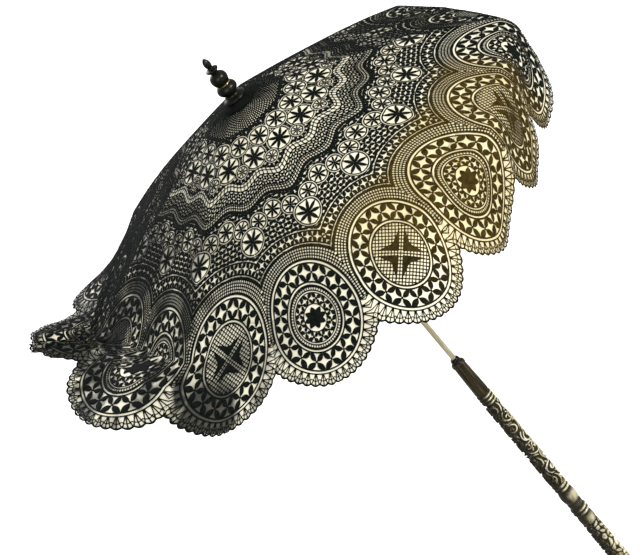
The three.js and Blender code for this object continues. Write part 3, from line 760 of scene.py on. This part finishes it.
def lace_field(turn, way, is_cross, inside):
    """The whole pattern. Turn runs from -0.5 to 0.5 over a scallop, and inside is the distance
    to the hem."""
    side = turn * SCALLOP * flat_radius(way)
    _, away, angle = oval(side, way)
    upper = wave(turn, way, WAVE_UPPER)
    lower = wave(turn, way, WAVE_LOWER)
    field = middle_cells(turn, side, way)
    field = np.where(lower < 0, wave_band(turn, way, upper, lower), field)
    field = np.where(upper < -LADDER_HALF, upper_cells(turn, side, way), field)
    field = np.maximum(field, thread(upper + LADDER_HALF, 0.5))
    field = np.maximum(field, tape(lower, 1.3))
    field = np.where(way < NET_END, crown_net(turn, way), field)
    field = np.maximum(field, tape(way - NET_END, 1.2))
    field = np.where(way < CROWN_PATCH, 1.0, field)
    reaches_arch = way > ARCH_START
    field = np.where(reaches_arch & (away < LEAF_ARCH), arch_field(away, angle), field)
    for line in (NET_ARCH, LEAF_ARCH):
        field = np.where(reaches_arch, np.maximum(field, tape(away - line, 1.3)), field)
    is_edge = (way > OVAL_MIDDLE + 4) & (away > 0)
    field = np.where(is_edge, picots(away, angle, inside, is_edge), field)
    field = np.where(away < 2.0, medallion(side, way, is_cross), field)
    return np.minimum(field, np.where(is_edge, 9.0, inside))


# ---- lace pieces ----------------------------------------------------------------------------
LACE_STEP = 0.5  # grid of the flat pattern
LACE_RELIEF = 0.33  # how far a thread's back stands up
LEAF_RELIEF = 0.2  # how much more a woven leaf does
ROUNDED_DEPTH = 0.75  # depth inside a thread's edge at which its back is level
LEAF_DEPTH = 2  # and at which a leaf's is
CROSSING_MARGIN = 0.08  # of a grid step: outlines keep this far off the grid's points


def across_of(side, way):
    """-1 to 1 over a gore centred on a rib."""
    return side / flat_radius(way) / (GORE / 2)


def marched(field, step):
    """Polygons round the parts of a grid above zero: points as (column, row), their field, and
    the polygons as sizes and running corners."""
    inside = field > 0
    ids = np.full(field.shape, -1)
    ids[inside] = np.arange(inside.sum())
    row, column = np.nonzero(inside)
    points = [np.stack([column, row], axis=1).astype(float)]
    heights = [field[inside]]
    count = len(row)
    crossings = []
    for axis in (1, 0):
        first = field[:, :-1] if axis else field[:-1]
        second = field[:, 1:] if axis else field[1:]
        cut = (first > 0) != (second > 0)
        share = first[cut] / (first[cut] - second[cut])
        share = np.clip(share, CROSSING_MARGIN, 1 - CROSSING_MARGIN)
        row, column = np.nonzero(cut)
        point = np.stack([column, row], axis=1).astype(float)
        point[:, 1 - axis] += share
        edge = np.full(cut.shape, -1)
        edge[cut] = count + np.arange(len(row))
        count += len(row)
        points.append(point)
        heights.append(np.zeros(len(row)))
        crossings.append(edge)
    level, upright = crossings
    slots = np.stack([ids[:-1, :-1], level[:-1], ids[:-1, 1:], upright[:, 1:],
                      ids[1:, 1:], level[1:], ids[1:, :-1], upright[:, :-1]], axis=-1).reshape(-1, 8)
    used = (slots >= 0).sum(axis=1)
    sizes = []
    corners = []
    for size in (3, 4, 5, 6):
        chosen = slots[used == size]
        corners.append(chosen[chosen >= 0])
        sizes.append(np.full(len(chosen), size))
    places = np.concatenate(points) * step
    return places, np.concatenate(heights), np.concatenate(sizes), np.concatenate(corners)


def flat_lace(first_way, last_way, upper_edge, lower_edge):
    """The pattern of one panel, cut along its two edges and its sides."""
    reach = flat_radius(last_way) * GORE / 2 + 1
    sides = np.arange(-reach, reach, LACE_STEP)
    ways = np.arange(first_way, last_way, LACE_STEP)
    side, way = np.meshgrid(sides, ways)
    across = across_of(side, way)
    turn = np.mod(across, 1.0) - 0.5
    width = 0.01 * GORE / 2 * flat_radius(way)
    slope = (hem_way(across + 0.005) - hem_way(across - 0.005)) / width
    inside = (hem_way(across) - way) / np.hypot(1, slope)
    field = lace_field(turn, way, across > 0, inside)
    trimmed = np.minimum.reduce([
        field,
        (1 - np.abs(across)) * GORE / 2 * flat_radius(way),
        way - upper_edge(across),
        lower_edge(across) - way,
    ])
    points, depth, sizes, corners = marched(trimmed, LACE_STEP)
    return points + (-reach, first_way), depth, sizes, corners


def flat_area(points, sizes, corners):
    """Area of the threads of a flat pattern, in square metres."""
    starts = np.concatenate([[0], np.cumsum(sizes)[:-1]])
    owner = np.repeat(np.arange(len(sizes)), sizes)
    following = np.arange(len(corners)) + 1
    ends = starts + sizes
    following = np.where(following == ends[owner], starts[owner], following)
    here = points[corners]
    there = points[corners[following]]
    return abs(np.sum(here[:, 0] * there[:, 1] - here[:, 1] * there[:, 0])) / 2 * MM * MM


def flat_silk_area(upper_edge, lower_edge):
    """Area of one panel's lining laid flat, in square metres."""
    across = np.linspace(-1, 1, 400)
    lengths = lower_edge(across) - upper_edge(across)
    middle_ways = (lower_edge(across) + upper_edge(across)) / 2
    return float(np.mean(lengths * flat_radius(middle_ways)) * GORE) * MM * MM


def draped(flat, depth, rib):
    """Lays a flat pattern on the cloth of one gore, with rounded threads."""
    azimuth = across_of(flat[:, 0], flat[:, 1]) * GORE / 2 + rib * GORE
    back = np.sqrt(1 - (1 - np.clip(depth / ROUNDED_DEPTH, 0, 1)) ** 2)
    lift = LACE_OFFSET + LACE_RELIEF * back + LEAF_RELIEF * np.clip(depth / LEAF_DEPTH, 0, 1)
    way = flat[:, 1]
    return (cloth_point(azimuth, way) + cloth_outward(azimuth, way) * lift[:, None]) * MM


def lining_mesh(name, rib, upper_edge, lower_edge, columns, rows):
    """A thin closed sheet of silk under one panel's lace."""
    across = np.linspace(-1, 1, columns)[None, :] * np.ones((rows, 1))
    share = np.linspace(0, 1, rows)[:, None]
    way = upper_edge(across) + share * (lower_edge(across) - upper_edge(across))
    azimuth = across * GORE / 2 + rib * GORE
    surface = cloth_point(azimuth, way)
    outward = cloth_outward(azimuth, way)
    skins = [surface + outward * (LINING_OFFSET - below) for below in (0, LINING_THICK)]
    points = np.concatenate([skin.reshape(-1, 3) for skin in skins]) * MM
    count = rows * columns
    upper = grid_faces(rows, columns)[:, ::-1]
    index = np.arange(count).reshape(rows, columns)
    rim = np.concatenate([index[0, :], index[1:, -1], index[-1, -2::-1], index[-2:0:-1, 0]])
    ahead = np.roll(rim, -1)
    walls = np.stack([rim, ahead, ahead + count, rim + count], axis=1)
    faces = np.concatenate([upper, upper[:, ::-1] + count, walls])
    return build_mesh(name, points, np.full(len(faces), 4), faces.ravel())


COVER_CUT = (10.0, 222.0)  # ways between which the cover's flat cut lies
FLOUNCE_CUT = (198.0, 297.0)
LINING_COLUMNS = 57
COVER_ROWS = 44
FLOUNCE_ROWS = 26


def gather_when_folded(piece):
    """Gives a panel its own copy of its mesh."""
    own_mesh(piece)


def lining_edge(across):
    return hem_way(across) - LINING_INSET


def cover_edge(across):
    return np.full_like(across, COVER_START)


def add_cloth(lace, lining):
    """Eight cover panels and eight lengths of flounce, each of lace over silk."""
    panels = [
        ("cover", "rib_arm", "cover_panel", COVER_CUT, cover_edge, seam_way, seam_way, COVER_ROWS),
        ("flounce", "flounce_fall", "flounce", FLOUNCE_CUT, seam_way, hem_way, lining_edge, FLOUNCE_ROWS),
    ]
    for kind, body, node, (first, last), upper, lower, lined_to, rows in panels:
        flat, depth, sizes, corners = flat_lace(first, last, upper, lower)
        lace_area = flat_area(flat, sizes, corners)
        silk_area = flat_silk_area(upper, lined_to)
        for rib in range(RIB_COUNT):
            rider = f"{body}_{rib + 1}"
            mesh = build_mesh(f"{kind}_lace_{rib + 1}", draped(flat, depth, rib), sizes, corners)
            piece = add_piece(f"{kind}_lace_{rib + 1}", mesh, lace, rider, (f"{node}_{rib + 1}",))
            silk = lining_mesh(f"{kind}_lining_{rib + 1}", rib, upper, lined_to, LINING_COLUMNS, rows)
            backing = add_piece(f"{kind}_lining_{rib + 1}", silk, lining, rider)
            for sheet, area in ((piece, lace_area), (backing, silk_area)):
                gather_when_folded(sheet)


# ---- turned and carved pieces ---------------------------------------------------------------
def eased(outline, passes=3):
    """Rounds an outline's corners, keeping its two ends."""
    points = np.array(outline, float)
    for _ in range(passes):
        early = 0.75 * points[:-1] + 0.25 * points[1:]
        late = 0.25 * points[:-1] + 0.75 * points[1:]
        middle = np.stack([early, late], axis=1).reshape(-1, 2)
        points = np.concatenate([points[:1], middle, points[-1:]])
    return points


def turned_mesh(name, outline, sides=72, step=None, relief=None):
    """Turns an outline of (height above the apex, radius) and closes its ends on the axis. A
    relief function of turns round and height is added to the radius."""
    outline = np.array(outline, float)
    if step:
        lengths = np.concatenate([[0], np.cumsum(np.hypot(*np.diff(outline, axis=0).T))])
        spaced = np.linspace(0, lengths[-1], int(lengths[-1] / step))
        outline = np.stack([np.interp(spaced, lengths, outline[:, axis]) for axis in (0, 1)], axis=1)
    rows = len(outline)
    turns = np.arange(sides)[None, :] / sides
    height = outline[:, :1] * np.ones((1, sides))
    radius = outline[:, 1:] * np.ones((1, sides))
    if relief:
        radius = radius + relief(turns * np.ones((rows, 1)), height)
    angle = 2 * np.pi * turns
    points = np.stack([radius * np.cos(angle), radius * np.sin(angle), height + APEX], axis=-1)
    ends = [(0, 0, outline[0, 0] + APEX), (0, 0, outline[-1, 0] + APEX)]
    quads = grid_faces(rows, sides, wraps=True)
    first = np.arange(sides)
    following = np.roll(first, -1)
    count = rows * sides
    last_row = count - sides
    start_cap = np.stack([following, first, np.full(sides, count)], axis=1)
    end_cap = np.stack([first + last_row, following + last_row, np.full(sides, count + 1)], axis=1)
    if outline[-1, 0] < outline[0, 0]:
        quads, start_cap, end_cap = quads[:, ::-1], start_cap[:, ::-1], end_cap[:, ::-1]
    sizes = np.concatenate([np.full(len(quads), 4), np.full(2 * sides, 3)])
    corners = np.concatenate([quads.ravel(), start_cap.ravel(), end_cap.ravel()])
    return build_mesh(name, np.concatenate([points.reshape(-1, 3), ends]) * MM, sizes, corners)


def add_turned(name, outline, material, slot, replaced=(), **options):
    return add_piece(name, turned_mesh(name, outline, **options), material, "stick", replaced)


def below(stations):
    """Stations given as (depth below the apex, radius)."""
    return [(-depth, radius) for depth, radius in stations]


CARVED_DEPTH = 1.5  # of the grips' carving
CARVED_SIDES = 144
CARVED_STEP = 0.36


def scroll_relief(turns, height):
    """Volutes and rosettes by turns up the grip, with leaves between, carved deep."""
    columns = 2
    row_height = 14.6
    cell = 2 * np.pi * GRIP_RADIUS / columns
    row = np.floor(height / row_height)
    flip = np.where(row % 2 == 0, 1.0, -1.0)
    across = wrap(turns * columns + 0.21 * flip + 0.09 * row, 1.0) * cell
    along = height - (row + 0.5 + 0.12 * np.sin(2.3 * row)) * row_height
    radius = np.hypot(across * 0.9, along)
    angle = np.arctan2(along, across) * flip
    volute = 0.5 + 0.5 * np.cos(angle - radius * 2 * np.pi / 4.6)
    rosette = 0.5 + 0.5 * np.cos(5 * angle + radius * 0.8)
    spray = 0.5 + 0.5 * np.cos(4 * angle - radius * 1.5)
    heart = np.where(row % 3 == 1, 4.4, 1.7)
    carved = np.where(radius < heart, rosette, np.where(radius < 7.4, volute, spray))
    raised = smooth(carved * 2.4 - 1.3)
    return CARVED_DEPTH * (raised - 1) + 0.5 * raised


def leaf_relief(turns, height):
    """Broad leaves that cross all round, with deep hollows between."""
    swing = 1.5 * np.sin(2 * np.pi * turns + height * 0.41)
    around = turns * 2 * np.pi * BUTT_RADIUS + swing
    rising = height + 1.8 * np.sin(4 * np.pi * turns + height * 0.17)
    pitch = 2 * np.pi * BUTT_RADIUS / 4
    field = leaf_lattice(around, rising, pitch, 5.6)
    vein = 0.5 * smooth(1 - np.abs(wrap(around + rising, pitch / 2)) / 0.7)
    raised = smooth(field / 1.5 + 0.1)
    return CARVED_DEPTH * (raised - 1) + (0.4 - vein) * raised


def ring_outline(top, end, count, low, high):
    """A row of equal rings, each of which swells from the low radius to the high one and back."""
    pitch = (end - top) / count
    lip = low + 0.2
    profile = [(0.2, lip), (0.34, high), (0.62, high), (0.76, lip), (1, low)]
    stations = [(top, low)]
    for ring in range(count):
        stations += [(top + pitch * (ring + share), radius) for share, radius in profile]
    return stations


def add_carved(name, outline, material, replaced, relief):
    add_turned(name, outline, material, "bone", (replaced,), sides=CARVED_SIDES, step=CARVED_STEP,
               relief=relief)


def add_finial(jet, cloth, brass):
    foot = [(1.3, 2.6), (1.3, 10.2), (2.0, 10.9), (3.4, 9.6), (5.2, 6.6), (7.2, 6.2),
            (9.6, 8.8), (12.4, 9.6), (15.2, 8.6), (17.2, 6.3)]
    add_turned("finial_foot_turned", eased(foot), jet, "finial", ("finial_foot",))
    ring = [(16.9, 3.0), (16.9, 6.6), (17.6, 6.9), (18.3, 6.6), (18.3, 3.0)]
    add_turned("finial_ring", eased(ring, 2), brass, "brass")
    ball = [(18.1, 3.0), (18.2, 6.2), (20.0, 7.2), (23.6, 8.2), (27.0, 7.4), (29.4, 4.8), (30.3, 3.2)]
    add_turned("finial_ball_turned", eased(ball), jet, "finial", ("finial_ball",))
    acorn = [(30.1, 3.0), (31.2, 3.4), (33.2, 5.9), (34.6, 5.9), (35.2, 3.0), (36.6, 2.4),
             (39.4, 3.4), (42.6, 3.1), (45.2, 1.7), (46.4, 0.4)]
    add_turned("finial_acorn_turned", eased(acorn), jet, "finial", ("finial_acorn",))

    def pleats(turns, height):
        return 0.45 * np.abs(np.sin(np.pi * 28 * turns)) - 0.2

    cap = [(-4.6, 14.6), (-3.8, 15.4), (-2.2, 13.8), (-0.4, 10.4), (1.0, 7.0), (1.3, 3.2)]
    add_turned("crown_rosette", eased(cap), cloth, "lace", ("crown_cap",), sides=224, relief=pleats)


def add_handle(jet, walnut, bone, smooth_bone, carved, carved_butt):
    socket = [(SOCKET_TOP, 3.0), (SOCKET_TOP + 0.4, 4.1), (SOCKET_TOP + 2.6, 4.7), (SOCKET_TOP + 4.2, 4.7),
              (COLLAR_TOP - SEAM_GAP, 5.4)]
    add_turned("socket_turned", eased(below(socket)), jet, "finial", ("rod_socket",))
    collar = [(COLLAR_TOP, 4.6), (COLLAR_TOP + 0.2, 6.0), (COLLAR_TOP + 1.6, 6.9), (COLLAR_TOP + 3.4, 6.9),
              (COLLAR_TOP + 4.6, 6.2), (COLLAR_TOP + 8, 6.4), (COLLAR_END - 5, 7.0), (COLLAR_END - 1.4, 7.1),
              (COLLAR_END, 6.4)]
    add_turned("collar_turned", eased(below(collar)), walnut, "walnut", ("wood_collar",), sides=96)
    upper = ring_outline(COLLAR_END + SEAM_GAP, SCROLL_TOP - SEAM_GAP, 3, 6.2, 7.6)
    add_turned("upper_rings_turned", eased(below(upper), 2), bone, "bone", ("upper_rings",))
    grip = below([(SCROLL_TOP, 6.9), (SCROLL_TOP + 3, GRIP_RADIUS + 0.2), (SCROLL_END - 3, GRIP_RADIUS + 0.4),
                  (SCROLL_END, 7.0)])
    add_carved("scroll_carving", grip, carved, "scroll_grip", scroll_relief)
    middle = ring_outline(SCROLL_END + SEAM_GAP, BULGE_TOP - SEAM_GAP, 2, 6.6, 7.9)
    add_turned("middle_rings_turned", eased(below(middle), 2), bone, "bone", ("middle_rings",))
    bulge = [(BULGE_TOP, 6.8), (BULGE_TOP + 1.2, 7.3), (BULGE_TOP + 7, 8.5), (BULGE_TOP + 12, 8.3),
             (BULGE_TOP + 16.4, 7.2), (BULGE_TOP + 16.8, 6.7), (BULGE_TOP + 17.6, 6.7), (BULGE_TOP + 18, 7.4),
             (BULGE_END - 1.6, 7.4), (BULGE_END - 1.2, 6.8), (BULGE_END, 6.8)]
    add_turned("bulge_turned", eased(below(bulge)), smooth_bone, "bone", ("smooth_bulge",), sides=96)
    rings_end = BULGE_END + 10
    lower = ring_outline(BULGE_END + SEAM_GAP, rings_end, 2, 6.9, 8.5)
    lower += [(rings_end + 1.5, 7.4), (rings_end + 6, 8.3), (LEAF_TOP - 2.5, 8.0), (LEAF_TOP - SEAM_GAP, 7.2)]
    add_turned("lower_rings_turned", eased(below(lower), 2), smooth_bone, "bone", ("lower_rings",), sides=96)
    leaves = below([(LEAF_TOP, 7.4), (LEAF_TOP + 3, 8.0), (LEAF_END - 3, BUTT_RADIUS), (LEAF_END, 8.2)])
    add_carved("leaf_carving", leaves, carved_butt, "leaf_grip", leaf_relief)
    pommel = [(LEAF_END + SEAM_GAP, 7.6), (LEAF_END + 1, 8.8), (LEAF_END + 5, 9.8), (LEAF_END + 10, 9.4),
              (LEAF_END + 13.4, 7.2), (POMMEL_END, 6.4), (POMMEL_END, 5.0)]
    add_turned("pommel_turned", eased(below(pommel)), bone, "bone", ("pommel",), sides=96)


def paint_frame(finishes):
    """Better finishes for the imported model's own pieces that stay in sight."""
    for name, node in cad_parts.items():
        kind = next((finish for start, finish in finishes.items() if name.startswith(start)), None)
        if kind:
            node.data.materials.clear()
            node.data.materials.append(kind)


def main():
    make_camera()
    make_studio()
    brass = metal_material("brass", (0.16, 0.11, 0.04), (0.6, 0.5, 0.28), 0.3)
    steel = metal_material("steel", (0.06, 0.055, 0.05), (0.3, 0.29, 0.27), 0.38)
    rod = metal_material("pale_brass", (0.42, 0.36, 0.2), (0.85, 0.78, 0.55), 0.34)
    jet = finial_material()
    add_cloth(lace_material(), lining_material())
    add_finial(jet, crown_cloth_material(), brass)
    bone = bone_material("bone_smooth", 6.8, 7.5)
    smooth_bone = bone_material("bone_bulge", 7.1, 8.8)
    carved = bone_material("bone_carved", 6.9, 7.75)
    carved_butt = bone_material("bone_butt", 7.3, 8.4)
    add_handle(jet, walnut_material(), bone, smooth_bone, carved, carved_butt)
    paint_frame({
        "rib_": steel, "stretcher": steel, "rivet": brass, "crown": brass, "runner": brass,
        "rod": rod, "top_catch": steel, "bottom_catch": steel,
    })


main()
